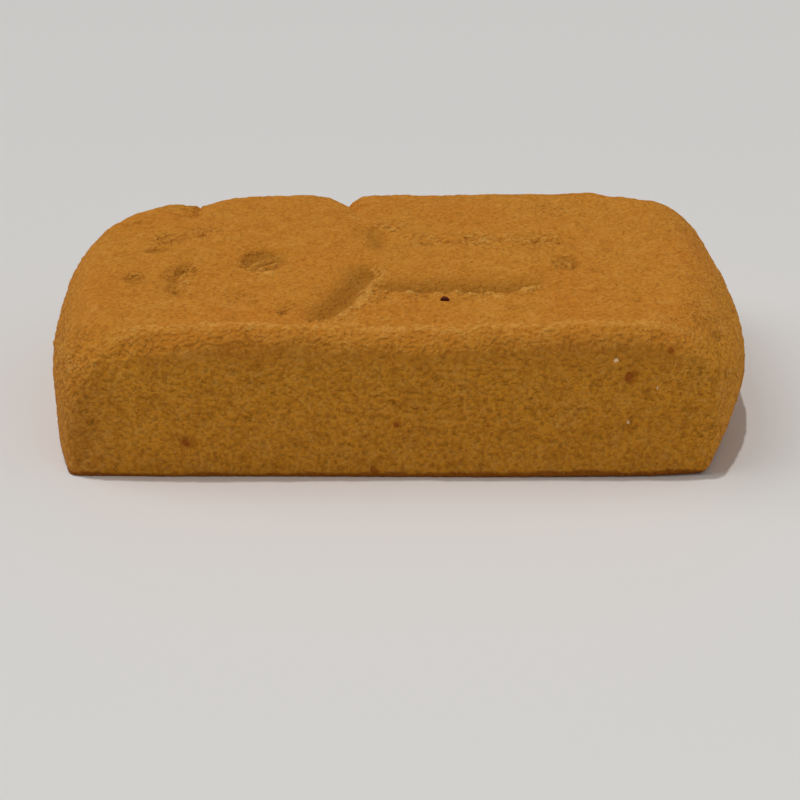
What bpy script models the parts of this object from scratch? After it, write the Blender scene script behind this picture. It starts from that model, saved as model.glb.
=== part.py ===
"""Salted caramel shortcrust cookie: one thick pressed and baked bar, lying flat on its base.

+X runs along the bar to its right-hand end, -Y is the front, +Z is up, and the origin is under the
middle of the flat base. The outline is a rounded rectangle whose ends bulge. The long edges are
tight, and both ends roll over softly. Creases and dents are pressed into the top.
"""

import math

import bmesh
import bpy
from mathutils import Vector, noise

# Driving dimensions, in metres.
LENGTH = 0.0716
WIDTH = 0.0401
HEIGHT = 0.0151
TOP_CROWN = 0.0003
TOP_RISE_TO_RIGHT = 0.0002

# The outline, seen from above: corner radii, and how far the ends bulge past their corners. The right
# end curves in to the front, and the two front corners tighten towards the foot of the bar.
FRONT_LEFT_RADIUS = 0.0044
FRONT_RIGHT_RADIUS = 0.0026
BACK_LEFT_RADIUS = 0.0092
BACK_RIGHT_RADIUS = 0.0049
FRONT_LEFT_FOOT_RADIUS = 0.0011
FRONT_RIGHT_FOOT_RADIUS = 0.0010
LEFT_BULGE = 0.0034
RIGHT_BULGE = 0.0005
RIGHT_FRONT_CURVE = 0.0050
RIGHT_BACK_LEAN = 0.0006

# The rounding between top and walls: tight on the long sides, wide and deep at the ends.
LONG_EDGE_RADIUS = 0.0017
LEFT_EDGE_INSET = 0.0053
RIGHT_EDGE_INSET = 0.0075
LEFT_EDGE_DROP = 0.0090
RIGHT_EDGE_DROP = 0.0091
END_REACH = 0.0113
END_EASE = 1.23

# The top sinks a little towards the front edge, which wavers as it runs along the bar.
FRONT_SAG = 0.0003
FRONT_SAG_REACH = 0.0050
FRONT_WAVE = 0.0004
FRONT_WAVE_LENGTH = 0.0336
FRONT_WAVE_CREST = -0.0142

# The foot: the right end tucks in under itself, and its worn base edge lifts a little.
RIGHT_TUCK = 0.0020
LONG_SIDE_TUCK = 0.0003
TUCK_HEIGHT = 0.0059
TUCK_EASE = 2
LEFT_BASE_EDGE = 0.0002
RIGHT_BASE_EDGE = 0.0006

# Hand-pressed unevenness of the walls and of the top, to either side.
WALL_UNEVENNESS = 0.00022
TOP_UNEVENNESS = 0.00010
UNEVENNESS_SIZE = 0.0055

# Mesh density: quads along and across the top, and rows down the rounding and down the wall.
TOP_COLUMNS = 66
TOP_ROWS = 38
ROUNDING_ROWS = 6
WALL_ROWS = 4

# Creases in the top: start, bend and end of the centre line, the depth at those three, and the half
# width at the start and at the end. The first two notch the back edge and run out down the wall.
CREASES = (
    ((-0.0061, 0.0209), (-0.0033, 0.0109), (-0.0020, 0.0025), (0.00170, 0.00050, 0.0004), (0.0017, 0.0010)),
    ((-0.0225, 0.0211), (-0.0225, 0.0190), (-0.0223, 0.0159), (0.00170, 0.00120, 0.0002), (0.0028, 0.0024)),
    ((-0.0070, -0.0163), (-0.0048, -0.0119), (-0.0033, -0.0047), (0.00095, 0.00085, 0.0004), (0.0015, 0.0013)),
    ((-0.0039, -0.0088), (0.0034, -0.0113), (0.0141, -0.0068), (0.00045, 0.00065, 0.00040), (0.0012, 0.0012)),
    ((-0.0217, -0.0035), (-0.0230, -0.0073), (-0.0211, -0.0105), (0.00050, 0.00040, 0.0002), (0.0011, 0.0009)),
)
CREASE_SHARPNESS = 1.4
NOTCH_RUNOUT = 0.0045

# Dents in the top: centre, half length, half width and depth.
DENTS = (
    ((-0.0143, -0.0021), 0.0030, 0.0028, 0.00045),
    ((-0.0269, -0.0059), 0.0015, 0.0013, 0.00020),
    ((-0.0257, 0.0023), 0.0012, 0.0012, 0.00035),
    ((0.0166, -0.0028), 0.0011, 0.0020, 0.00050),
)

HALF_LENGTH = (LENGTH - LEFT_BULGE - RIGHT_BULGE) / 2
HALF_WIDTH = WIDTH / 2
MIDDLE_SHIFT = (LEFT_BULGE - RIGHT_BULGE) / 2


def smooth_step(value, low, high):
    """0 below low, 1 above high and a smooth rise between."""
    share = min(max((value - low) / (high - low), 0.0), 1.0)
    return share * share * (3 - 2 * share)


def side_point(share, half_side, start_radius, end_radius):
    """A point along one side, from the middle of one corner's arc to the middle of the next one's.

    It gives the distance along the side from the side's middle, and the distance inside its line.
    """
    start_arc = start_radius * math.pi / 4
    end_arc = end_radius * math.pi / 4
    straight = 2 * half_side - start_radius - end_radius
    run = share * (start_arc + straight + end_arc)
    if run < start_arc:
        turn = math.pi / 4 - run / start_radius
        return -half_side + start_radius * (1 - math.sin(turn)), start_radius * (1 - math.cos(turn))
    if run > start_arc + straight:
        turn = (run - start_arc - straight) / end_radius
        return half_side - end_radius * (1 - math.sin(turn)), end_radius * (1 - math.cos(turn))
    return -half_side + start_radius + run - start_arc, 0.0


def outline_point(u, v, half_length, half_width, foot=0.0):
    """The outline's point for a place (u, v) on the border of the unit square.

    As foot goes from 0 to 1, the front corners tighten to their radii at the foot of the bar.
    """
    front_left = FRONT_LEFT_RADIUS + (FRONT_LEFT_FOOT_RADIUS - FRONT_LEFT_RADIUS) * foot
    front_right = FRONT_RIGHT_RADIUS + (FRONT_RIGHT_FOOT_RADIUS - FRONT_RIGHT_RADIUS) * foot
    if v in (0.0, 1.0):
        radii = (BACK_LEFT_RADIUS, BACK_RIGHT_RADIUS) if v else (front_left, front_right)
        x, inside = side_point(u, half_length, *radii)
        y = (half_width - inside) * (1 if v else -1)
    else:
        radii = (front_right, BACK_RIGHT_RADIUS) if u else (front_left, BACK_LEFT_RADIUS)
        y, inside = side_point(v, half_width, *radii)
        x = (half_length - inside) * (1 if u else -1)
    across = y / half_width
    if x > 0:
        proud = RIGHT_BULGE * (1 - across ** 2) - RIGHT_BACK_LEAN * across
        proud -= RIGHT_FRONT_CURVE * min(across, 0.0) ** 2
    else:
        proud = LEFT_BULGE * (1 - across ** 2)
    return x + proud * x / half_length, y


def rim_point(u, v, level):
    """A point of the rim's column at (u, v).

    Level 0 is the edge of the flat top, 1 the foot of the rounding, 2 the base edge, 3 the base.
    """
    x_full, _ = outline_point(u, v, HALF_LENGTH, HALF_WIDTH)
    right = x_full > 0
    endness = min(max((abs(x_full) - HALF_LENGTH + END_REACH) / END_REACH, 0.0), 1.0) ** END_EASE
    end_drop = RIGHT_EDGE_DROP if right else LEFT_EDGE_DROP
    drop = LONG_EDGE_RADIUS + (end_drop - LONG_EDGE_RADIUS) * endness
    top = HEIGHT + TOP_RISE_TO_RIGHT * x_full / HALF_LENGTH
    if level <= 1:
        turn = (1 - level) * math.pi / 2
        left_inset = LEFT_EDGE_INSET * (1 - math.cos(turn))
        right_inset = RIGHT_EDGE_INSET * (1 - math.cos(turn))
        x, y = outline_point(
            u, v,
            HALF_LENGTH - (left_inset + right_inset) / 2,
            HALF_WIDTH - LONG_EDGE_RADIUS * (1 - math.cos(turn)),
        )
        z = top - drop * (1 - math.sin(turn))
        return Vector((x + (left_inset - right_inset) / 2 + MIDDLE_SHIFT, y, z))
    base_edge = LEFT_BASE_EDGE + (RIGHT_BASE_EDGE - LEFT_BASE_EDGE) * smooth_step(x_full, 0, HALF_LENGTH)
    if level <= 2:
        x, y = outline_point(u, v, HALF_LENGTH, HALF_WIDTH, level - 1)
        z = (top - drop) * (2 - level) + base_edge * (level - 1)
    else:
        x, y = outline_point(u, v, HALF_LENGTH - base_edge, HALF_WIDTH - base_edge, 1.0)
        z = 0.0
    tuck = endness * max(1 - z / TUCK_HEIGHT, 0.0) ** TUCK_EASE if right else 0.0
    x -= tuck * RIGHT_TUCK * x / HALF_LENGTH
    y -= tuck * LONG_SIDE_TUCK * y / HALF_WIDTH
    return Vector((x + MIDDLE_SHIFT, y, z))


def top_point(u, v):
    """A point of the top, spanned between the four stretches of its edge and slightly crowned."""
    across = rim_point(u, 0.0, 0).lerp(rim_point(u, 1.0, 0), v)
    along = rim_point(0.0, v, 0).lerp(rim_point(1.0, v, 0), u)
    front = rim_point(0.0, 0.0, 0).lerp(rim_point(1.0, 0.0, 0), u)
    back = rim_point(0.0, 1.0, 0).lerp(rim_point(1.0, 1.0, 0), u)
    point = across + along - front.lerp(back, v)
    point.z += TOP_CROWN * 16 * u * (1 - u) * v * (1 - v)
    return point


def front_sag(point):
    """How far the bar has sunk at a point near its wavering front edge."""
    wave = math.cos(2 * math.pi * (point.x - FRONT_WAVE_CREST) / FRONT_WAVE_LENGTH)
    nearness = smooth_step(-point.y, HALF_WIDTH - FRONT_SAG_REACH, HALF_WIDTH)
    return (FRONT_SAG - FRONT_WAVE * wave) * nearness * point.z / HEIGHT


def crease_depth(x, y, crease):
    """Depth of one crease at a place on the top: a soft V along a curved centre line."""
    start, bend, end, depths, half_widths = crease
    steps = 16
    nearest, share = min(
        (math.hypot(
            x - (start[0] * (1 - t) ** 2 + 2 * bend[0] * t * (1 - t) + end[0] * t * t),
            y - (start[1] * (1 - t) ** 2 + 2 * bend[1] * t * (1 - t) + end[1] * t * t)), t)
        for t in (step / steps for step in range(steps + 1))
    )
    if share < 0.5:
        depth = depths[0] + (depths[1] - depths[0]) * 2 * share
    else:
        depth = depths[1] + (depths[2] - depths[1]) * (2 * share - 1)
    half_width = half_widths[0] + (half_widths[1] - half_widths[0]) * share
    return depth * math.exp(-((nearest / half_width) ** CREASE_SHARPNESS))


def dent_depth(x, y, dent):
    """Depth of one dent at a place on the top: an oval bowl with a flat floor."""
    centre, half_length, half_width, depth = dent
    reach = math.hypot((x - centre[0]) / half_length, (y - centre[1]) / half_width)
    return depth * (1 - smooth_step(reach, 0.45, 1.15))


def relief(point):
    """How far the surface stands proud of the smooth form at a point, along its normal."""
    field = noise.noise(point / UNEVENNESS_SIZE) + 0.5 * noise.noise(point / UNEVENNESS_SIZE * 2.3)
    top_share = smooth_step(point.z, HEIGHT - LEFT_EDGE_DROP, HEIGHT - LONG_EDGE_RADIUS)
    height = field * (WALL_UNEVENNESS + (TOP_UNEVENNESS - WALL_UNEVENNESS) * top_share)
    height *= smooth_step(point.z, RIGHT_BASE_EDGE, 3 * RIGHT_BASE_EDGE)
    runout = smooth_step(point.z, HEIGHT - NOTCH_RUNOUT, HEIGHT - LONG_EDGE_RADIUS / 2)
    pressed = max(crease_depth(point.x, point.y, crease) for crease in CREASES)
    pressed = max(pressed, max(dent_depth(point.x, point.y, dent) for dent in DENTS))
    return height - pressed * runout


def shortcrust_material():
    material = bpy.data.materials.new("baked_shortcrust")
    material.use_nodes = True
    shader = material.node_tree.nodes["Principled BSDF"]
    shader.inputs["Base Color"].default_value = (0.52, 0.205, 0.028, 1.0)
    shader.inputs["Roughness"].default_value = 0.85
    shader.inputs["Metallic"].default_value = 0.0
    return material


def build_cookie():
    """The bar: a grid for the top, its border extruded down row by row, and a flat base."""
    bm = bmesh.new()
    bmesh.ops.create_grid(bm, x_segments=TOP_COLUMNS, y_segments=TOP_ROWS, size=0.5)
    u_layer = bm.verts.layers.float.new("u")
    v_layer = bm.verts.layers.float.new("v")
    for vert in bm.verts:
        vert[u_layer] = round((vert.co.x + 0.5) * TOP_COLUMNS) / TOP_COLUMNS
        vert[v_layer] = round((vert.co.y + 0.5) * TOP_ROWS) / TOP_ROWS
        vert.co = top_point(vert[u_layer], vert[v_layer])

    levels = [(row + 1) / ROUNDING_ROWS for row in range(ROUNDING_ROWS)]
    levels += [1 + (row + 1) / WALL_ROWS for row in range(WALL_ROWS)]
    levels.append(3)
    rim = [edge for edge in bm.edges if edge.is_boundary]
    for level in levels:
        extruded = bmesh.ops.extrude_edge_only(bm, edges=rim)["geom"]
        rim = [part for part in extruded if isinstance(part, bmesh.types.BMEdge) and part.is_boundary]
        for vert in {vert for edge in rim for vert in edge.verts}:
            vert.co = rim_point(vert[u_layer], vert[v_layer], level)
    for vert in bm.verts:
        vert.co.z -= front_sag(vert.co)
    base = bmesh.ops.holes_fill(bm, edges=rim, sides=0)["faces"]
    bmesh.ops.poke(bm, faces=base)
    bmesh.ops.recalc_face_normals(bm, faces=bm.faces)

    bm.normal_update()
    moves = [vert.normal * relief(vert.co) for vert in bm.verts]
    for vert, move in zip(bm.verts, moves):
        vert.co += move
    for axis in (0, 1):
        places = [vert.co[axis] for vert in bm.verts]
        middle = (min(places) + max(places)) / 2
        for vert in bm.verts:
            vert.co[axis] -= middle

    mesh = bpy.data.meshes.new("cookie")
    bm.to_mesh(mesh)
    bm.free()
    mesh.shade_smooth()
    mesh.set_sharp_from_angle(angle=math.radians(50))
    mesh.materials.append(shortcrust_material())
    cookie = bpy.data.objects.new("cookie", mesh)
    bpy.context.scene.collection.objects.link(cookie)


for old in list(bpy.data.objects):
    bpy.data.objects.remove(old, do_unlink=True)
build_cookie()
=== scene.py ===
import functools
import math
import random

import bmesh
import bpy
from mathutils import Matrix, Quaternion, Vector, noise
from mathutils.bvhtree import BVHTree


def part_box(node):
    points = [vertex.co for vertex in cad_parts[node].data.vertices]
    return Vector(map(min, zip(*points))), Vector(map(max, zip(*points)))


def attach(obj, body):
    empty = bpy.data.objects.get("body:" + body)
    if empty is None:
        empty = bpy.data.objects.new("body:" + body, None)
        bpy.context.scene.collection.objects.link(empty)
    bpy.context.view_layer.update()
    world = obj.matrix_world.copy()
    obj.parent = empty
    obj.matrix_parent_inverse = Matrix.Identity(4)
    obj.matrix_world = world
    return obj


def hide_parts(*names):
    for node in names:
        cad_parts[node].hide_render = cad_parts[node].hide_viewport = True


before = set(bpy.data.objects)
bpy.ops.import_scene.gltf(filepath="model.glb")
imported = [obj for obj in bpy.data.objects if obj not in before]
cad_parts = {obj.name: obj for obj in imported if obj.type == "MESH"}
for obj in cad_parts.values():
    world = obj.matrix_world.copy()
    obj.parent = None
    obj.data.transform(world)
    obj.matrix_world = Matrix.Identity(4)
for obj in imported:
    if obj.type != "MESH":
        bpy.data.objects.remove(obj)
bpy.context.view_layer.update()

# The bar. It is one piece of butter-rich shortcrust dough, pressed by hand into a rounded oblong and
# baked lying flat. Both ends roll over softly, the front is cut almost straight down, and the right end
# curves in to the front and tucks in under itself.
MM = 0.001
crumb_proud = 0.12 * MM
crown_proud = 0.40 * MM
bar_low, bar_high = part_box("cookie")
bar_half_length = (bar_high.x - bar_low.x) / 2 - crumb_proud
bar_half_width = (bar_high.y - bar_low.y) / 2 - crumb_proud
bar_height = bar_high.z - crown_proud
bar_crown = 0.3 * MM
bar_rise_to_right = 0.2 * MM

corner_radius = {
    ("front", "left"): 4.4 * MM,
    ("front", "right"): 2.6 * MM,
    ("back", "left"): 9.2 * MM,
    ("back", "right"): 4.9 * MM,
}
wall_radius = {"left": 1.8 * MM, "right": 0.9 * MM}
foot_radius = {"left": 0.7 * MM, "right": 0.4 * MM}
end_bulge = {"left": 3.4 * MM, "right": 0.5 * MM}
front_curve = {"left": 0.1 * MM, "right": 5.4 * MM}
right_back_lean = 0.75 * MM
end_roll_inset = {"left": 5.3 * MM, "right": 7.5 * MM}
end_roll_drop = {"left": 9.0 * MM, "right": 9.1 * MM}
long_edge_radius = 2.1 * MM
end_reach = 11.3 * MM
end_ease = 1.23
front_sag = 0.3 * MM
front_sag_reach = 5.0 * MM
front_wave = 0.4 * MM
front_wave_length = 33.6 * MM
front_wave_crest = -14.2 * MM
right_tuck = 2.0 * MM
long_side_tuck = 0.3 * MM
front_spread = {"left": 0.3 * MM, "right": 0.75 * MM}
spread_run = 20.0 * MM
spread_reach = 3.0 * MM
tuck_height = 5.9 * MM
base_edge = {"left": 0.15 * MM, "right": 0.75 * MM}

straight_half = bar_half_length - (end_bulge["left"] + end_bulge["right"]) / 2
middle_shift = (end_bulge["left"] - end_bulge["right"]) / 2


def ease(value, low, high):
    """0 below low, 1 above high and a smooth rise between."""
    share = min(max((value - low) / (high - low), 0.0), 1.0)
    return share * share * (3 - 2 * share)


def hump(value, middle, reach):
    """1 at the middle, falling smoothly to 0 at the reach on either side."""
    return 1 - ease(abs(value - middle), 0.0, reach)


def side_point(share, half_side, start_radius, end_radius):
    """How far along its side a point lies, from the side's middle, and how far inside its line."""
    start_arc = start_radius * math.pi / 4
    end_arc = end_radius * math.pi / 4
    straight = 2 * half_side - start_radius - end_radius
    run = share * (start_arc + straight + end_arc)
    if run < start_arc:
        turn = math.pi / 4 - run / start_radius
        return -half_side + start_radius * (1 - math.sin(turn)), start_radius * (1 - math.cos(turn))
    if run > start_arc + straight:
        turn = (run - start_arc - straight) / end_radius
        return half_side - end_radius * (1 - math.sin(turn)), end_radius * (1 - math.cos(turn))
    return -half_side + start_radius + run - start_arc, 0.0


def outline_point(u, v, half_length, half_width, level=0.0):
    """The outline's point for a place (u, v) on the border of the unit square.

    As level goes from 0 to 2, the front corners tighten from the top's edge to the foot of the bar.
    """
    front = {}
    for end in ("left", "right"):
        if level <= 1:
            front[end] = corner_radius["front", end] * (1 - level) + wall_radius[end] * level
        else:
            front[end] = wall_radius[end] * (2 - level) + foot_radius[end] * (level - 1)
    if v == 0.0:
        x, inside = side_point(u, half_length, front["left"], front["right"])
        y = inside - half_width
    elif v == 1.0:
        x, inside = side_point(u, half_length, corner_radius["back", "left"], corner_radius["back", "right"])
        y = half_width - inside
    else:
        end = "right" if u else "left"
        y, inside = side_point(v, half_width, front[end], corner_radius["back", end])
        x = (half_length - inside) * (1 if u else -1)
    across = y / half_width
    end = "right" if x > 0 else "left"
    proud = end_bulge[end] * (1 - across ** 2) - front_curve[end] * min(across, 0.0) ** 2
    if end == "right":
        proud -= right_back_lean * across
    return x + proud * x / half_length, y


@functools.lru_cache(maxsize=None)
def rim_point(u, v, level):
    """A point of the rim: level 0 edges the top, 1 ends the rounding, 2 the wall, 3 the base edge."""
    x_full, _ = outline_point(u, v, straight_half, bar_half_width)
    end = "right" if x_full > 0 else "left"
    endness = min(max((abs(x_full) - straight_half + end_reach) / end_reach, 0.0), 1.0) ** end_ease
    drop = long_edge_radius + (end_roll_drop[end] - long_edge_radius) * endness
    top = bar_height + bar_rise_to_right * x_full / straight_half
    if level <= 1:
        turn = (1 - level) * math.pi / 2
        left_inset = end_roll_inset["left"] * (1 - math.cos(turn))
        right_inset = end_roll_inset["right"] * (1 - math.cos(turn))
        x, y = outline_point(
            u, v,
            straight_half - (left_inset + right_inset) / 2,
            bar_half_width - long_edge_radius * (1 - math.cos(turn)),
            level,
        )
        z = top - drop * (1 - math.sin(turn))
        return Vector((x + (left_inset - right_inset) / 2 + middle_shift, y, z))
    worn = base_edge["left"] + (base_edge["right"] - base_edge["left"]) * ease(x_full, 0, straight_half)
    if level <= 2:
        x, y = outline_point(u, v, straight_half, bar_half_width, level)
        z = (top - drop) * (2 - level) + worn * (level - 1)
    else:
        turn = (level - 2) * math.pi / 2
        inset = worn * (1 - math.cos(turn))
        x, y = outline_point(u, v, straight_half - inset, bar_half_width - inset, 2.0)
        z = worn * (1 - math.sin(turn))
    foot = max(1 - z / tuck_height, 0.0) ** 2
    tuck = endness * foot if end == "right" else 0.0
    x -= tuck * right_tuck * x / straight_half
    y -= tuck * long_side_tuck * y / bar_half_width
    to_right = ease(x_full, -spread_run, spread_run)
    spread = front_spread["left"] + (front_spread["right"] - front_spread["left"]) * to_right
    y -= spread * foot * (1 - endness) * ease(-y, bar_half_width - spread_reach, bar_half_width)
    return Vector((x + middle_shift, y, z))


def top_point(u, v):
    """A point of the top, spanned between the four stretches of its edge and slightly crowned."""
    across = rim_point(u, 0.0, 0).lerp(rim_point(u, 1.0, 0), v)
    along = rim_point(0.0, v, 0).lerp(rim_point(1.0, v, 0), u)
    front = rim_point(0.0, 0.0, 0).lerp(rim_point(1.0, 0.0, 0), u)
    back = rim_point(0.0, 1.0, 0).lerp(rim_point(1.0, 1.0, 0), u)
    point = across + along - front.lerp(back, v)
    point.z += bar_crown * 16 * u * (1 - u) * v * (1 - v)
    return point


def sunk_front(point):
    """How far the bar has sunk at a point near its wavering front edge."""
    wave = math.cos(2 * math.pi * (point.x - front_wave_crest) / front_wave_length)
    nearness = ease(-point.y, bar_half_width - front_sag_reach, bar_half_width)
    return (front_sag - front_wave * wave) * nearness * point.z / bar_height


top_columns = 268
top_rows = 150
rim_rows = 66
base_edge_rows = 2
rim_samples = 48


@functools.lru_cache(maxsize=None)
def rim_levels(u, v):
    """The levels of a column's rows, evenly spaced down its rounding and its wall."""
    sampled = [rim_point(u, v, 2 * step / rim_samples) for step in range(rim_samples + 1)]
    runs = [0.0]
    for above, below in zip(sampled, sampled[1:]):
        runs.append(runs[-1] + (below - above).length)
    levels = []
    step = 0
    for row in range(1, rim_rows):
        wanted = runs[-1] * row / rim_rows
        while runs[step + 1] < wanted:
            step += 1
        share = (wanted - runs[step]) / (runs[step + 1] - runs[step])
        levels.append(2 * (step + share) / rim_samples)
    return levels + [2.0] + [2 + (row + 1) / base_edge_rows for row in range(base_edge_rows)]


bar = bmesh.new()
bmesh.ops.create_grid(bar, x_segments=top_columns, y_segments=top_rows, size=0.5)
u_of = bar.verts.layers.float.new("u")
v_of = bar.verts.layers.float.new("v")
for vert in bar.verts:
    vert[u_of] = vert.co.x + 0.5
    vert[v_of] = vert.co.y + 0.5


def grid_place(vert):
    """The vertex's place on the unit square, exact on its border."""
    return round(vert[u_of] * top_columns) / top_columns, round(vert[v_of] * top_rows) / top_rows


for vert in bar.verts:
    vert.co = top_point(*grid_place(vert))
rim = [edge for edge in bar.edges if edge.is_boundary]
for row in range(rim_rows + base_edge_rows):
    extruded = bmesh.ops.extrude_edge_only(bar, edges=rim)["geom"]
    rim = [part for part in extruded if isinstance(part, bmesh.types.BMEdge) and part.is_boundary]
    for vert in {vert for edge in rim for vert in edge.verts}:
        place = grid_place(vert)
        vert.co = rim_point(*place, rim_levels(*place)[row])
for vert in bar.verts:
    vert.co.z -= sunk_front(vert.co)
base = bmesh.ops.holes_fill(bar, edges=rim, sides=0)["faces"]
bmesh.ops.poke(bar, faces=base)
bmesh.ops.recalc_face_normals(bar, faces=bar.faces)


def sheet_place(face):
    """Where a face lies on the sheet that was drawn down into the bar, and how high."""
    return (
        sum(vert[u_of] for vert in face.verts),
        sum(vert[v_of] for vert in face.verts),
        face.calc_center_median().z,
    )


# Extrusion leaves its faces in a different order each run, and the loose grains are strewn by that order.
for index, face in enumerate(sorted(bar.faces, key=sheet_place)):
    face.index = index
bar.faces.sort()
bar.normal_update()

# The marks in the bar, pressed into the soft dough before it was baked. Two creases notch the back edge,
# a broad one runs forward from a long curved one, and thin strokes, dents and pits lie around them. The
# long creases are smooth on one flank and torn on the other, where a lip of crumbs stands up.
path_steps = 10
creases = (
    (((-2.0, 2.5), (-3.3, 10.9), (-6.1, 20.9)), (0.45, 0.40, 1.70), (1.5, 0.9), 0.05, 0.0),
    (((-22.3, 15.2), (-22.5, 19.0), (-22.5, 21.1)), (0.15, 1.20, 1.70), (2.4, 2.6), 0.0, 0.0),
    (((-22.0, 12.0), (-22.1, 14.4), (-22.3, 18.4)), (0.25, 0.90, 1.05), (0.50, 0.50), 0.0, 0.0),
    (((-7.1, -15.0), (-4.7, -11.6), (-3.1, -5.1)), (0.75, 0.95, 0.80), (2.0, 1.15), 0.20, 0.0),
    (((-3.2, -7.6), (-0.6, -10.4), (6.5, -9.6)), (0.50, 0.75, 0.80), (2.5, 0.75), 0.16, 0.0),
    (((6.5, -9.6), (12.4, -10.2), (15.0, -6.3)), (0.80, 0.70, 0.20), (2.5, 0.75), 0.16, 0.0),
    (((-21.6, -10.4), (-23.5, -6.9), (-21.8, -2.8)), (0.25, 0.45, 0.55), (1.3, 0.60), 0.08, 0.0),
    (((-0.5, 1.6), (8.6, 4.9), (17.5, 2.6)), (0.38, 0.48, 0.40), (0.60, 0.45), 0.14, 1.0),
    (((-25.6, 3.9), (-24.2, 4.4), (-22.9, 5.4)), (0.24, 0.28, 0.20), (0.55, 0.40), 0.05, 0.5),
    (((15.8, -0.8), (16.9, -1.0), (17.8, -2.2)), (0.45, 0.60, 0.50), (0.45, 0.35), 0.08, 0.0),
    (((17.9, -1.2), (18.1, -2.6), (17.6, -4.2)), (0.45, 0.60, 0.40), (0.50, 0.30), 0.08, 0.0),
    (((16.0, -2.4), (16.8, -2.6), (17.5, -3.7)), (0.40, 0.55, 0.40), (0.45, 0.30), 0.08, 0.0),
    (((-15.9, -3.2), (-14.4, 0.6), (-12.0, -0.6)), (0.55, 0.45, 0.30), (0.60, 0.35), 0.12, 0.0),
    (((-14.6, -3.0), (-13.4, -0.9), (-11.8, -2.2)), (0.50, 0.55, 0.35), (0.50, 0.35), 0.12, 0.0),
)
crease_sharpness = 1.35
dents = (
    ((-13.9, -1.5), 2.75, 3.55, 0.44, 0.30),
    ((-21.7, -3.9), 1.30, 1.20, 0.50, 0.20),
    ((-26.5, -6.1), 1.45, 1.50, 0.28, 0.20),
    ((-25.4, 2.0), 1.35, 1.15, 0.42, 0.20),
    ((16.9, -2.5), 1.30, 2.30, 0.24, -0.25),
    ((26.4, 20.5), 4.90, 4.40, 0.34, 0.00),
)
notch_runout = 4.5
pits = (
    ((-11.5, -14.9, 15.1), 0.60, 0.34),
    ((-14.2, -12.3, 15.1), 0.50, 0.28),
    ((-28.2, 10.3, 14.9), 0.55, 0.28),
    ((-26.9, 10.2, 15.0), 0.50, 0.26),
    ((-22.7, 12.4, 14.9), 0.65, 0.32),
    ((-21.0, 6.1, 15.1), 0.60, 0.20),
    ((24.8, -5.8, 15.3), 0.55, 0.22),
    ((23.4, -12.5, 15.3), 0.70, 0.28),
    ((3.3, -10.2, 14.5), 0.60, 0.42),
    ((-8.5, -16.2, 15.0), 0.50, 0.30),
    ((-4.0, -5.7, 14.7), 0.45, 0.26),
    ((-22.1, 14.4, 14.6), 0.60, 0.40),
    ((-32.1, -18.3, 5.0), 0.70, 0.30),
    ((-31.3, -15.2, 13.2), 0.75, 0.30),
    ((30.9, -15.7, 12.9), 0.85, 0.38),
    ((31.7, -17.9, 9.7), 0.60, 0.30),
    ((30.2, -19.8, 5.5), 0.65, 0.30),
)
rough_places = (
    ((-14.3, -1.6, 15.1), 3.3, 1.8),
    ((-22.3, -4.4, 15.1), 2.8, 1.5),
    ((-22.8, -8.6, 15.0), 2.2, 1.0),
    ((-26.8, -5.6, 14.8), 2.4, 1.0),
    ((-24.6, 5.2, 15.0), 2.6, 1.5),
    ((-20.9, 6.8, 15.1), 2.6, 1.4),
    ((-16.0, -11.0, 15.1), 2.6, 0.9),
    ((-11.6, -14.3, 15.1), 1.6, 1.2),
    ((-2.6, -11.0, 15.2), 2.2, 1.6),
    ((-1.0, 8.0, 15.3), 2.8, 1.5),
    ((2.6, 3.6, 15.3), 2.4, 1.1),
    ((8.2, 3.7, 15.3), 2.8, 1.5),
    ((14.4, 3.6, 15.3), 3.0, 1.6),
    ((1.6, -9.9, 15.2), 2.6, 1.6),
    ((7.6, -10.2, 15.2), 2.8, 1.6),
    ((12.6, -9.2, 15.3), 1.8, 1.3),
    ((16.6, -3.6, 15.3), 2.2, 1.3),
    ((17.1, 13.5, 15.3), 3.0, 0.9),
    ((-24.0, 17.0, 14.5), 3.4, 1.0),
    ((29.0, -13.0, 13.5), 3.2, 0.8),
)


@functools.lru_cache(maxsize=None)
def crease_path(start, bend, end):
    """Points along a crease's curve."""
    path = []
    for t in (step / path_steps for step in range(path_steps + 1)):
        path.append(tuple(
            a * (1 - t) ** 2 + 2 * b * t * (1 - t) + c * t * t for a, b, c in zip(start, bend, end)
        ))
    return path


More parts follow.
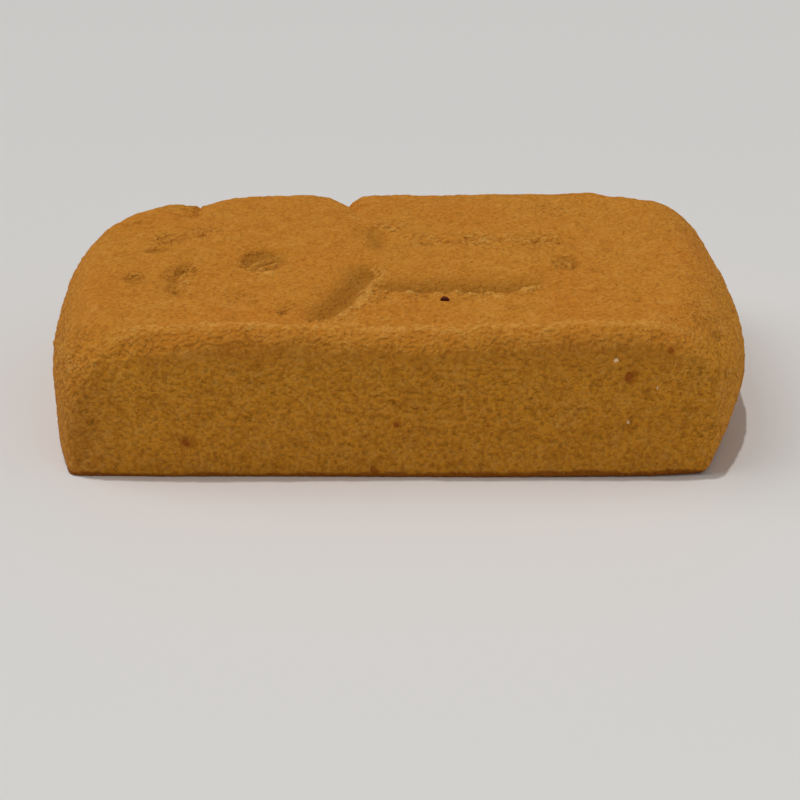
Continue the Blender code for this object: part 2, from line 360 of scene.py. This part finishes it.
def crease_depth(x, y, crease):
    """Depth of a crease at a place on the top, below 0 on its raised lip, and how crumbly it is there.

    A torn crease is broken up into short strokes.
    """
    (start, bend, end), depths, (left_width, right_width), lip, torn = crease
    margin = 2.2 * left_width
    if not (min(start[0], bend[0], end[0]) - margin < x < max(start[0], bend[0], end[0]) + margin
            and min(start[1], bend[1], end[1]) - margin < y < max(start[1], bend[1], end[1]) + margin):
        return 0.0, 0.0
    path = crease_path(start, bend, end)
    nearest, share, across = math.inf, 0.0, 0.0
    for step, ((from_x, from_y), (to_x, to_y)) in enumerate(zip(path, path[1:])):
        run_x, run_y = to_x - from_x, to_y - from_y
        run = math.hypot(run_x, run_y)
        t = min(max(((x - from_x) * run_x + (y - from_y) * run_y) / run ** 2, 0.0), 1.0)
        away_x, away_y = x - from_x - t * run_x, y - from_y - t * run_y
        distance = math.hypot(away_x, away_y)
        if distance < nearest:
            nearest, share = distance, (step + t) / path_steps
            across = (run_x * away_y - run_y * away_x) / run
    rightness = ease(-across, -0.25, 0.25)
    width = left_width + (right_width - left_width) * rightness
    if share < 0.5:
        depth = depths[0] + (depths[1] - depths[0]) * 2 * share
    else:
        depth = depths[1] + (depths[2] - depths[1]) * (2 * share - 1)
    broken = rightness * (0.6 + 1.4 * noise.noise(Vector((x / 0.8, y / 0.8, 12.0)))) * depth / max(depths)
    raised = lip * broken * math.exp(-(((nearest - 1.7 * right_width) / (0.6 * right_width)) ** 2))
    strokes = 1 - torn * (1 - ease(noise.noise(Vector((x / 0.9, y / 0.9, 4.0))), -0.10, 0.15))
    crumbly = rightness * hump(nearest, right_width, 1.3 * right_width) * min(lip / 0.12, 1.0)
    crumbly *= depth / max(depths)
    return strokes * (depth * math.exp(-((nearest / width) ** crease_sharpness)) - raised), crumbly


def dent_depth(x, y, dent):
    """Depth of a dent at a place on the top: an oval bowl, deeper to its left and back by its lean.

    Its front rim stands up slightly, and its depth is below 0 there.
    """
    centre, half_length, half_width, depth, lean = dent
    along, across = (x - centre[0]) / half_length, (y - centre[1]) / half_width
    reach = math.hypot(along, across)
    if reach > 1.5:
        return 0.0
    rim_height = 0.16 * depth * ease(-across, 0.2, 0.8) * hump(reach, 1.2, 0.25)
    return depth * (1 + lean * (0.35 * across - along)) * (1 - ease(reach, 0.66, 1.06)) - rim_height


def pressed_marks(p):
    """Depth of the pressed marks at a place, and how crumbly their torn flanks are there."""
    runout = ease(p.z, bar_height / MM - notch_runout, (bar_height - long_edge_radius / 2) / MM)
    if runout == 0.0:
        return 0.0, 0.0
    wander = Vector((p.x, p.y, 0.0)) / 1.5
    x = p.x + 0.26 * noise.noise(wander)
    y = p.y + 0.26 * noise.noise(wander + Vector((9.0, 4.0, 2.0)))
    pressed = [crease_depth(x, y, crease) for crease in creases]
    depths = [depth for depth, _ in pressed] + [dent_depth(x, y, dent) for dent in dents]
    depth = max(max(depths), 0.0) + min(min(depths), 0.0)
    return runout * depth, runout * max(crumbly for _, crumbly in pressed)


def pit_depth(p):
    """Depth of the single pits at a place."""
    deepest = 0.0
    for centre, reach, depth in pits:
        distance = (p - Vector(centre)).length
        if distance < 1.8 * reach:
            ragged = distance * (1 + 0.5 * noise.noise(p / 0.45))
            deepest = max(deepest, depth * math.exp(-1.6 * (ragged / reach) ** 2))
    return deepest


# The crumb. In the oven the sandy dough dried to a fine skin on top and to coarser granules on the
# walls, with small pits and broken places. Crumbs stand up in a ridge along the front top edge, and
# singly beside the marks.
front_plane = bar_half_width / MM


def wallness(p):
    """0 on the flat top and 1 on the walls."""
    return 1 - ease(p.z, (bar_height - 2.2 * long_edge_radius) / MM, (bar_height - 0.35 * MM) / MM)


def between_corners(p):
    """1 along the front and the back, falling to 0 at the corners."""
    return ease(p.x, -31.0, -26.0) * (1 - ease(p.x, 26.0, 30.5))


def front_ridge(p):
    """1 on the crumbly ridge that edges the top along the front."""
    waver = 0.5 * noise.noise(Vector((p.x / 3.1, 5.0, 1.0)))
    return between_corners(p) * hump(p.y + front_plane + waver, 2.1, 1.4) * ease(p.z, 12.5, 13.8)


def coarseness(p, crumbly):
    """How coarse the crumb is at a place: about a half on the smooth top, and 1 on the walls."""
    coarse = 0.54 + 0.46 * wallness(p) - 0.10 * front_ridge(p) + 0.7 * crumbly
    for centre, reach, gain in rough_places:
        if abs(p.x - centre[0]) < reach and abs(p.y - centre[1]) < reach:
            coarse += 0.40 * gain * (1 - ease((p - Vector(centre)).length, reach * 0.35, reach))
    return coarse


def broad_height(p):
    """The hand-pressed unevenness, with the ridge along the front and the dip behind it."""
    ripples = 0.10 - 0.06 * wallness(p)
    height = 0.18 * noise.noise(p / 5.5) + ripples * noise.noise(p / 2.2)
    dip = between_corners(p) * hump(p.y + front_plane, 4.3, 1.9) * ease(p.z, 13.0, 14.0)
    return height + 0.10 * front_ridge(p) - 0.06 * dip


def crumb_height(p):
    """The height of the lumps, grains and pits at a place where the crumb is as coarse as on the walls."""
    lumps = 0.05 * noise.noise(p / 1.35)
    grains = 0.11 * noise.noise(p / 0.75 + Vector((3.0, 8.0, 1.0))) + 0.10 * noise.noise(p / 0.45)
    nearest = noise.voronoi(p / 0.95)[0][0]
    torn = ease(noise.noise(p / 2.1 + Vector((31.0, 7.0, 3.0))), 0.0, 0.35)
    return lumps + grains - 0.15 * torn * (1 - ease(nearest, 0.05, 0.34))


lowest_raised = 13.0
raised_crumbs = (
    ((-3.7, -9.2), 0.45, 0.24),
    ((-3.0, -10.2), 0.40, 0.21),
    ((-2.6, -8.3), 0.40, 0.18),
    ((1.0, -10.4), 0.45, 0.24),
    ((3.7, -10.3), 0.60, 0.30),
    ((5.6, -10.4), 0.50, 0.24),
    ((6.8, -10.3), 0.40, 0.18),
    ((8.8, -10.9), 0.50, 0.24),
    ((9.7, -11.8), 0.65, 0.21),
    ((12.7, -10.0), 0.70, 0.33),
    ((13.6, -9.5), 0.40, 0.18),
    ((-5.4, -15.0), 0.60, 0.21),
    ((-4.6, -13.9), 0.65, 0.21),
    ((-3.8, -12.4), 0.60, 0.21),
    ((-3.2, -11.2), 0.45, 0.18),
    ((-1.5, 7.7), 0.50, 0.24),
    ((-0.8, 6.5), 0.45, 0.21),
    ((3.6, 4.0), 0.45, 0.21),
    ((7.5, 4.4), 0.45, 0.21),
    ((8.9, 3.4), 0.50, 0.27),
    ((11.4, 4.3), 0.45, 0.24),
    ((15.4, 3.6), 0.50, 0.21),
    ((16.6, 4.1), 0.40, 0.18),
    ((-21.8, -5.3), 0.45, 0.24),
    ((-21.2, -7.5), 0.45, 0.21),
    ((-20.7, -9.0), 0.45, 0.18),
    ((-14.6, -5.3), 0.60, 0.18),
    ((-13.2, -5.4), 0.60, 0.18),
    ((-14.6, -18.4), 0.60, 0.24),
    ((-18.6, -17.5), 0.50, 0.21),
)


def raised_height(p):
    """Height of the single crumbs that stand up from the top at a place."""
    highest = 0.0
    if p.z < lowest_raised:
        return highest
    for centre, reach, height in raised_crumbs:
        if abs(p.x - centre[0]) < 2 * reach and abs(p.y - centre[1]) < 2 * reach:
            distance = math.hypot(p.x - centre[0], p.y - centre[1]) * (1 + 0.6 * noise.noise(p / 0.4))
            highest = max(highest, height * (1 - ease(distance, 0.5 * reach, 1.4 * reach)))
    return highest


toffee_spots = (
    ((-20.8, -20.2, 3.8), 0.62),
    ((21.8, -20.0, 10.5), 0.72),
    ((-0.4, -20.0, 5.5), 0.42),
    ((-2.5, -20.0, 0.6), 0.60),
    ((25.6, -20.0, 13.3), 0.45),
    ((-13.9, 20.2, 7.1), 0.75),
    ((9.6, 20.2, 4.4), 0.60),
    ((24.3, 20.2, 9.6), 0.50),
    ((-34.8, 3.6, 5.2), 0.60),
    ((35.6, 6.4, 6.8), 0.65),
)


def toffee_share(p):
    """How far melted toffee has soaked into the crumb at a place."""
    share = 0.0
    for centre, reach in toffee_spots:
        if abs(p.x - centre[0]) < 2.2 * reach and abs(p.z - centre[2]) < 2.2 * reach:
            distance = (p - Vector(centre)).length * (1 + 0.6 * noise.noise(p / 0.6))
            share = max(share, 1 - ease(distance, 0.5 * reach, 1.5 * reach))
    return share


crumb_of = bar.verts.layers.float.new("crumb")
painted_crease_shade_of = bar.verts.layers.float.new("painted_crease_shade")
pale_crumb_and_corner_light_of = bar.verts.layers.float.new("pale_crumb_and_corner_light")
wall_fill_light_of = bar.verts.layers.float.new("wall")
grit_of = bar.verts.layers.float.new("grit")
toffee_of = bar.verts.layers.float.new("toffee")
full_grain = 0.10
full_lip = 0.16
moves = []
for vert in bar.verts:
    p = vert.co / MM
    above_base = ease(p.z, 0.3, 1.3)
    pressed, crumbly = pressed_marks(p)
    coarse = coarseness(p, crumbly)
    grain = crumb_height(p) * coarse * (0.35 + 0.65 * above_base)
    pit = pit_depth(p)
    raised = raised_height(p)
    vert[crumb_of] = grain / full_grain
    # Painted shade: the creases' smooth flanks, the dents and the pits take a darker brown, as if shade lay
    # in them. It is left off the torn flanks and fades out towards the back.
    vert[painted_crease_shade_of] = pit + 0.65 * max(pressed, 0.0) * (1 - ease(p.y, 6.0, 12.0)) * (1 - 0.8 * crumbly)
    # Paler along the front ridge, the torn flanks, the lips and the raised crumbs, for their pale crumbs.
    # Paler also along the front-right corner, where it is painted light.
    corner_painted_light = ease(-2 * vert.normal.x * vert.normal.y, 0.88, 0.98) if vert.normal.x > 0 else 0.0
    worn = 0.8 * front_ridge(p) + 0.8 * crumbly + 0.7 * corner_painted_light
    vert[pale_crumb_and_corner_light_of] = worn + (raised + max(-pressed, 0.0)) / full_lip
    # The walls' paler colour: partly their own less-browned crust, partly painted fill light, which is why
    # it is left off the left end that the window lights.
    vert[wall_fill_light_of] = wallness(p) * (1 - ease(middle_shift / MM - p.x, 27.0, 34.0))
    vert[grit_of] = min(0.25 + 0.75 * coarse, 1.05)
    vert[toffee_of] = toffee_share(p)
    if p.z > 0.01:
        height = broad_height(p) * above_base + grain + raised - pit - pressed
        moves.append((vert, vert.normal * (height * MM)))
for vert, move in moves:
    vert.co += move
places = [[vert.co[axis] for vert in bar.verts if vert.co.z > tuck_height] for axis in (0, 1)]
offset = Vector((-(min(places[0]) + max(places[0])) / 2, -(min(places[1]) + max(places[1])) / 2, 0))
bmesh.ops.translate(bar, verts=bar.verts, vec=offset)
surface = BVHTree.FromBMesh(bar)


def add_piece(name, made, smooth=True):
    """Puts a finished bmesh into the scene as an object."""
    mesh = bpy.data.meshes.new(name)
    made.to_mesh(mesh)
    if smooth:
        mesh.shade_smooth()
    piece = bpy.data.objects.new(name, mesh)
    bpy.context.scene.collection.objects.link(piece)
    return piece


def new_material(name):
    """A new material and its node tree."""
    material = bpy.data.materials.new(name)
    material.use_nodes = True
    return material, material.node_tree


def feed(tree, socket, value):
    """Sets an input to a value, or links it from another socket."""
    if isinstance(value, bpy.types.NodeSocket):
        tree.links.new(value, socket)
    else:
        socket.default_value = value


def add_node(tree, kind, settings=None, **inputs):
    """Adds a shader node; an input is a value, or a socket to link from."""
    made = tree.nodes.new(kind)
    for name, value in (settings or {}).items():
        setattr(made, name, value)
    for name, value in inputs.items():
        feed(tree, made.inputs[name.replace("_", " ")], value)
    return made


def clouds(tree, spot, scale, detail):
    """A cloudy pattern, fixed to the piece."""
    return add_node(tree, "ShaderNodeTexNoise", Vector=spot, Scale=scale, Detail=detail).outputs["Fac"]


def remap(tree, value, from_low, from_high, to_low=0.0, to_high=1.0):
    """Brings a value from one range to another, eased at both ends."""
    made = add_node(
        tree, "ShaderNodeMapRange", {"interpolation_type": "SMOOTHSTEP"},
        Value=value, From_Min=from_low, From_Max=from_high, To_Min=to_low, To_Max=to_high,
    )
    return made.outputs["Result"]


def blend_colour(tree, share, under, over):
    """Mixes two colours by a share."""
    made = add_node(tree, "ShaderNodeMix", {"data_type": "RGBA"})
    for socket, value in ((made.inputs[0], share), (made.inputs[6], under), (made.inputs[7], over)):
        feed(tree, socket, value)
    return made.outputs[2]


def combine(tree, first, second, operation="ADD"):
    """Adds or multiplies two values."""
    made = add_node(tree, "ShaderNodeMath", {"operation": operation})
    for socket, value in zip(made.inputs, (first, second)):
        feed(tree, socket, value)
    return made.outputs[0]


def tinted(tree, colour, tint, most, pattern, low, high, strength=None):
    """Lays a tint over a colour: none where the pattern is at low, the most where it is at high."""
    share = remap(tree, pattern, low, high, 0.0, most)
    if strength is not None:
        share = combine(tree, share, strength, "MULTIPLY")
    return blend_colour(tree, share, colour, tint)


def coat(piece, material, colour, roughness, shine, relief=None, strength=1.0, depth=0.0):
    """Gives a material its colour, dullness, shine and finest relief, and puts it on a piece."""
    tree = material.node_tree
    shader = tree.nodes["Principled BSDF"]
    feed(tree, shader.inputs["Base Color"], colour)
    feed(tree, shader.inputs["Roughness"], roughness)
    feed(tree, shader.inputs["Specular IOR Level"], shine)
    if relief is not None:
        bump = add_node(tree, "ShaderNodeBump", Height=relief, Strength=strength, Distance=depth)
        feed(tree, shader.inputs["Normal"], bump.outputs["Normal"])
    piece.data.materials.append(material)


golden = (0.635, 0.248, 0.024, 1.0)
toasted = (0.625, 0.226, 0.020, 1.0)
# The walls' colour, paler than the top: partly their own crust, partly painted fill light.
paler_wall_and_fill_light = (0.800, 0.325, 0.023, 1.0)
buttery = (0.820, 0.420, 0.085, 1.0)
# A dark crumb tone, also laid as painted shade into the gaps between the granules.
dark_crumb_and_gap_shade = (0.350, 0.110, 0.008, 1.0)
# The darker brown of the painted shade in the marks and in the grain's dips.
painted_shade_brown = (0.285, 0.108, 0.006, 1.0)
toffee_brown = (0.450, 0.136, 0.007, 1.0)
# The browned base, also laid as painted shade under the foot.
browned_and_shaded_base = (0.330, 0.090, 0.006, 1.0)

toffee_soak = 0.7
base_band_waver = 1.0 * MM
base_band_rise_to_right = 0.30 * MM

baked_bar = add_piece("baked_bar", bar)
shortcrust, tree = new_material("shortcrust")
spot = add_node(tree, "ShaderNodeTexCoord").outputs["Object"]
shares = {
    name: add_node(tree, "ShaderNodeAttribute", {"attribute_name": name}).outputs["Fac"]
    for name in ("crumb", "painted_crease_shade", "pale_crumb_and_corner_light", "wall", "grit", "toffee")
}
patches = clouds(tree, spot, 105.0, 3.0)
mottle = clouds(tree, spot, 520.0, 3.0)
crumble = clouds(tree, spot, 1800.0, 2.0)
sand = clouds(tree, spot, 3600.0, 1.0)
granules = add_node(tree, "ShaderNodeTexVoronoi", {"feature": "SMOOTH_F1"}, Vector=spot, Scale=2900.0)
granule_gap = remap(tree, granules.outputs["Distance"], 0.30, 0.75)
granule_tone = add_node(tree, "ShaderNodeSeparateColor", Color=granules.outputs["Color"]).outputs["Red"]

colour = tinted(tree, golden, toasted, 1.0, patches, 0.35, 0.65)
# Paler walls: partly their own crust, partly painted fill light.
colour = blend_colour(tree, shares["wall"], colour, paler_wall_and_fill_light)
colour = tinted(tree, colour, buttery, 0.20, mottle, 0.50, 0.72)
colour = tinted(tree, colour, dark_crumb_and_gap_shade, 0.22, mottle, 0.48, 0.30)
for tint, most, pattern, low, high in (
    (buttery, 0.28, granule_tone, 0.55, 1.00),
    (dark_crumb_and_gap_shade, 0.25, granule_tone, 0.45, 0.00),
    (buttery, 0.28, crumble, 0.52, 0.72),
    (dark_crumb_and_gap_shade, 0.30, crumble, 0.47, 0.28),
    # Painted shade in the gaps between the granules.
    (dark_crumb_and_gap_shade, 0.30, granule_gap, 0.00, 1.00),
):
    colour = tinted(tree, colour, tint, most, pattern, low, high, shares["grit"])
# Painted shade and highlight of the grain: darker brown in its dips, paler on its tops.
colour = tinted(tree, colour, painted_shade_brown, 0.35, shares["crumb"], -0.25, -1.3)
colour = tinted(tree, colour, buttery, 0.22, shares["crumb"], 0.2, 0.9)
# Painted shade in the creases, dents and pits.
colour = tinted(tree, colour, painted_shade_brown, 0.55, shares["painted_crease_shade"], 0.02, 0.36)
# Buttery tint for the pale crumbs, and painted light along the front-right corner.
patchy = combine(tree, shares["pale_crumb_and_corner_light"], remap(tree, crumble, 0.36, 0.62, 0.25, 1.25), "MULTIPLY")
colour = tinted(tree, colour, buttery, 0.52, patchy, 0.1, 1.3)
soaked = combine(tree, shares["toffee"], toffee_soak, "MULTIPLY")
colour = blend_colour(tree, soaked, colour, toffee_brown)
# Darker red-brown along the foot: partly the browned base, partly painted shade under the foot. It grows
# taller to the right, where the foot lifts off the table.
along, _, height = add_node(tree, "ShaderNodeSeparateXYZ", Vector=spot).outputs
ragged = combine(tree, height, combine(tree, mottle, -base_band_waver, "MULTIPLY"))
rise = remap(tree, along, -5.0 * MM, 25.0 * MM, 0.0, -base_band_rise_to_right)
ragged = combine(tree, ragged, rise)
colour = tinted(tree, colour, browned_and_shaded_base, 0.85, ragged, 0.08 * MM, -0.25 * MM)

relief = combine(tree, crumble, combine(tree, granule_gap, -0.7, "MULTIPLY"))
relief = combine(tree, relief, combine(tree, sand, 0.40, "MULTIPLY"))
relief = combine(tree, relief, shares["grit"], "MULTIPLY")
coat(baked_bar, shortcrust, colour, 0.9, 0.15, relief, 1.0, 0.21 * MM)
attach(baked_bar, "root")
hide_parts("cookie")

# The loose sandy grains. The dough's own crumbs, and specks of flour and sugar, baked fast to the skin
# of the bar. They lie thickest on the walls, on the broken places and along the front top edge.
grain_count = 5600
batch_size = 100
grain_sink = 0.25
grainless_coarseness = 0.58
least_weight = 0.06
chance = random.Random(7)
candidates = [face for face in bar.faces if face.calc_center_median().z > 0.5 * MM]
weights = []
for face in candidates:
    coarse = sum(vert[grit_of] for vert in face.verts) / len(face.verts)
    ridge = front_ridge(face.calc_center_median() / MM)
    weights.append(face.calc_area() * max(coarse - grainless_coarseness, least_weight) * (1 + 2 * ridge))
chosen = chance.choices(candidates, weights, k=grain_count)
batch_mesh = bpy.data.meshes.new("grain_batch")
grains = bmesh.new()
for first in range(0, grain_count, batch_size):
    batch = bmesh.new()
    tone_of = batch.verts.layers.float.new("tone")
    for face in chosen[first:first + batch_size]:
        radius = chance.uniform(0.08, 0.20) * MM
        stretch = Vector((1.0, chance.uniform(0.55, 0.9), chance.uniform(0.45, 0.7)))
        turn = face.normal.to_track_quat("Z", "Y") @ Quaternion((0, 0, 1), chance.uniform(0, math.tau))
        place = face.calc_center_median() - face.normal * radius * grain_sink
        fitted = Matrix.LocRotScale(place, turn, stretch)
        made = bmesh.ops.create_icosphere(batch, subdivisions=1, radius=radius, matrix=fitted)
        tone = chance.random()
        for vert in made["verts"]:
            vert[tone_of] = tone
    batch.to_mesh(batch_mesh)
    batch.free()
    grains.from_mesh(batch_mesh)
bpy.data.meshes.remove(batch_mesh)
sandy_grains = add_piece("sandy_grains", grains)
grains.free()

sandy_crumb, tree = new_material("sandy_crumb")
spot = add_node(tree, "ShaderNodeTexCoord").outputs["Object"]
tone = add_node(tree, "ShaderNodeAttribute", {"attribute_name": "tone"}).outputs["Fac"]
flecks = clouds(tree, spot, 4200.0, 2.0)
colour = tinted(tree, golden, buttery, 0.55, tone, 0.4, 1.0)
colour = tinted(tree, colour, dark_crumb_and_gap_shade, 0.30, tone, 0.4, 0.0)
colour = tinted(tree, colour, dark_crumb_and_gap_shade, 0.4, flecks, 0.45, 0.25)
coat(sandy_grains, sandy_crumb, colour, 0.85, 0.2, flecks, 0.6, 0.05 * MM)
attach(sandy_grains, "root")

# The toffee pieces. Chips of salted caramel toffee were stirred into the dough; they softened in the
# oven and show as reddish brown lumps, sunk in the walls and nearly flush with them.


def on_surface(x, y, z):
    """The nearest place on the bar to a point in millimetres, and the way it faces there."""
    place, normal, _, _ = surface.find_nearest(Vector((x, y, z)) * MM)
    return place, normal


toffee_sink = 0.15
toffee = bmesh.new()
for centre, reach in toffee_spots:
    place, normal = on_surface(*centre)
    turn = normal.to_track_quat("Z", "Y") @ Quaternion((0, 0, 1), chance.uniform(0, math.tau))
    stretch = Vector((0.80, chance.uniform(0.55, 0.8), 0.30))
    fitted = Matrix.LocRotScale(place - normal * reach * toffee_sink * MM, turn, stretch)
    made = bmesh.ops.create_icosphere(toffee, subdivisions=3, radius=reach * MM, matrix=fitted)
    for vert in made["verts"]:
        vert.co += (vert.co - place) * 0.5 * noise.noise(vert.co / (0.5 * MM))
toffee_pieces = add_piece("toffee_pieces", toffee)
toffee.free()

dark_toffee = (0.380, 0.088, 0.004, 1.0)
melted_toffee, tree = new_material("melted_toffee")
spot = add_node(tree, "ShaderNodeTexCoord").outputs["Object"]
cloud = clouds(tree, spot, 1500.0, 3.0)
colour = tinted(tree, toffee_brown, dark_toffee, 1.0, cloud, 0.35, 0.65)
coat(toffee_pieces, melted_toffee, colour, 0.6, 0.12, cloud, 0.5, 0.10 * MM)
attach(toffee_pieces, "root")

# The burnt speck. One chip of sugar scorched nearly black in the oven and stuck fast to the top, just in
# front of the long crease.
speck_radius = 0.42 * MM
speck_turn = -0.7
speck_stretch = (1.15, 0.80, 0.50)
speck_lift = 0.02 * MM
speck = bmesh.new()
place, normal = on_surface(4.45, -12.3, 15.3)
turn = Quaternion((0, 0, 1), speck_turn)
fitted = Matrix.LocRotScale(place + normal * speck_lift, turn, Vector(speck_stretch))
made = bmesh.ops.create_icosphere(speck, subdivisions=3, radius=speck_radius, matrix=fitted)
for vert in made["verts"]:
    vert.co += (vert.co - place) * 0.7 * noise.noise(vert.co / (0.35 * MM) + Vector((4.0, 1.0, 2.0)))
burnt_speck = add_piece("burnt_speck", speck)
speck.free()

charred = (0.055, 0.004, 0.003, 1.0)
scorched = (0.160, 0.022, 0.008, 1.0)
burnt_sugar, tree = new_material("burnt_sugar")
spot = add_node(tree, "ShaderNodeTexCoord").outputs["Object"]
char = clouds(tree, spot, 2600.0, 2.0)
colour = tinted(tree, charred, scorched, 1.0, char, 0.40, 0.65)
coat(burnt_speck, burnt_sugar, colour, 0.7, 0.12, char, 0.6, 0.08 * MM)
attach(burnt_speck, "root")

# The salt crystals. A few clear cubes of sea salt with chipped edges were stirred in with the toffee, and
# baked fast in the walls.
salt_chip = 0.18
salt = bmesh.new()
for centre, size, stretch in (
    ((20.5, -20.0, 12.3), 0.44, (0.9, 1.1, 0.9)),
    ((22.0, -20.0, 5.7), 0.30, (0.9, 1.2, 0.8)),
    ((24.6, -20.1, 9.4), 0.22, (1.7, 0.7, 0.6)),
    ((-17.5, 20.2, 9.4), 0.40, (1.0, 0.9, 0.8)),
    ((13.0, 20.2, 11.6), 0.34, (0.8, 1.1, 0.8)),
    ((34.9, 9.6, 8.2), 0.36, (1.0, 0.8, 0.9)),
):
    place, normal = on_surface(*centre)
    turn = normal.to_track_quat("Z", "Y") @ Quaternion((0.3, 0.2, 1.0), chance.uniform(0, math.tau))
    fitted = Matrix.LocRotScale(place, turn, Vector(stretch))
    made = bmesh.ops.create_cube(salt, size=size * MM, matrix=fitted)
    edges = dict.fromkeys(edge for vert in made["verts"] for edge in vert.link_edges)
    bmesh.ops.bevel(
        salt, geom=list(edges), offset=salt_chip * size * MM, affect="EDGES",
        segments=1, profile=0.5, material=-1,
    )
salt_crystals = add_piece("salt_crystals", salt, smooth=False)
salt.free()

# Painted highlight: both salt colours are warm and brighter than the crust, standing in for the glint of the
# crystals.
salt_glint = (1.00, 0.70, 0.36, 1.0)
clear = (0.94, 0.56, 0.22, 1.0)
sea_salt, tree = new_material("sea_salt")
spot = add_node(tree, "ShaderNodeTexCoord").outputs["Object"]
glint_cloud = clouds(tree, spot, 5200.0, 2.0)
colour = tinted(tree, salt_glint, clear, 1.0, glint_cloud, 0.35, 0.65)
coat(salt_crystals, sea_salt, colour, 0.35, 0.5)
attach(salt_crystals, "root")
bar.free()

# The stage: a plain pale table top, a small lamp almost straight above, a wide soft window to the left,
# a faint glow from a door to the right and a dim pale room all round. The camera looks down on the bar's
# front, as a hand-held one does.
table_half = 1.5
floor = bmesh.new()
bmesh.ops.create_grid(floor, x_segments=1, y_segments=1, size=table_half)
table_top = add_piece("table_top", floor, smooth=False)
floor.free()
table_paint, tree = new_material("table_paint")
coat(table_top, table_paint, (0.865, 0.85, 0.83, 1.0), 0.4, 0.35)

room = bpy.data.worlds.new("room")
room.use_nodes = True
glow = room.node_tree.nodes["Background"]
glow.inputs["Color"].default_value = (1.0, 0.995, 0.985, 1.0)
glow.inputs["Strength"].default_value = 0.165
bpy.context.scene.world = room


def add_lamp(name, towards, energy, spread):
    """A far lamp that shines from the direction it is given, as wide in the sky as its spread."""
    lamp_data = bpy.data.lights.new(name, "SUN")
    lamp_data.energy = energy
    lamp_data.angle = math.radians(spread)
    lamp = bpy.data.objects.new(name, lamp_data)
    lamp.rotation_mode = "QUATERNION"
    lamp.rotation_quaternion = Vector(towards).to_track_quat("Z", "Y")
    bpy.context.scene.collection.objects.link(lamp)


add_lamp("ceiling_lamp", (-0.09, 0.10, 1.0), 0.93, 1.9)
add_lamp("window", (-0.78, 0.12, 1.0), 0.94, 50.0)
add_lamp("open_door", (0.92, -0.10, 0.60), 0.43, 90.0)
bpy.context.scene.view_settings.view_transform = "Standard"

camera_distance = 198.82 * MM
camera_elevation = math.radians(26)
camera_turn = -0.0093
camera_roll = -0.0020
camera_target = Vector((0.126, -2.900, -0.230)) * MM
camera_data = bpy.data.cameras.new("camera")
camera_data.sensor_width = 36.0
camera_data.lens = 84.34
camera = bpy.data.objects.new("camera", camera_data)
towards_camera = Vector((
    math.sin(camera_turn) * math.cos(camera_elevation),
    -math.cos(camera_turn) * math.cos(camera_elevation),
    math.sin(camera_elevation),
))
camera.location = camera_target + towards_camera * camera_distance
camera.rotation_mode = "QUATERNION"
camera.rotation_quaternion = towards_camera.to_track_quat("Z", "Y") @ Quaternion((0, 0, 1), -camera_roll)
camera_data.clip_start = 10 * MM
camera_data.clip_end = 5.0
bpy.context.scene.collection.objects.link(camera)
bpy.context.scene.camera = camera
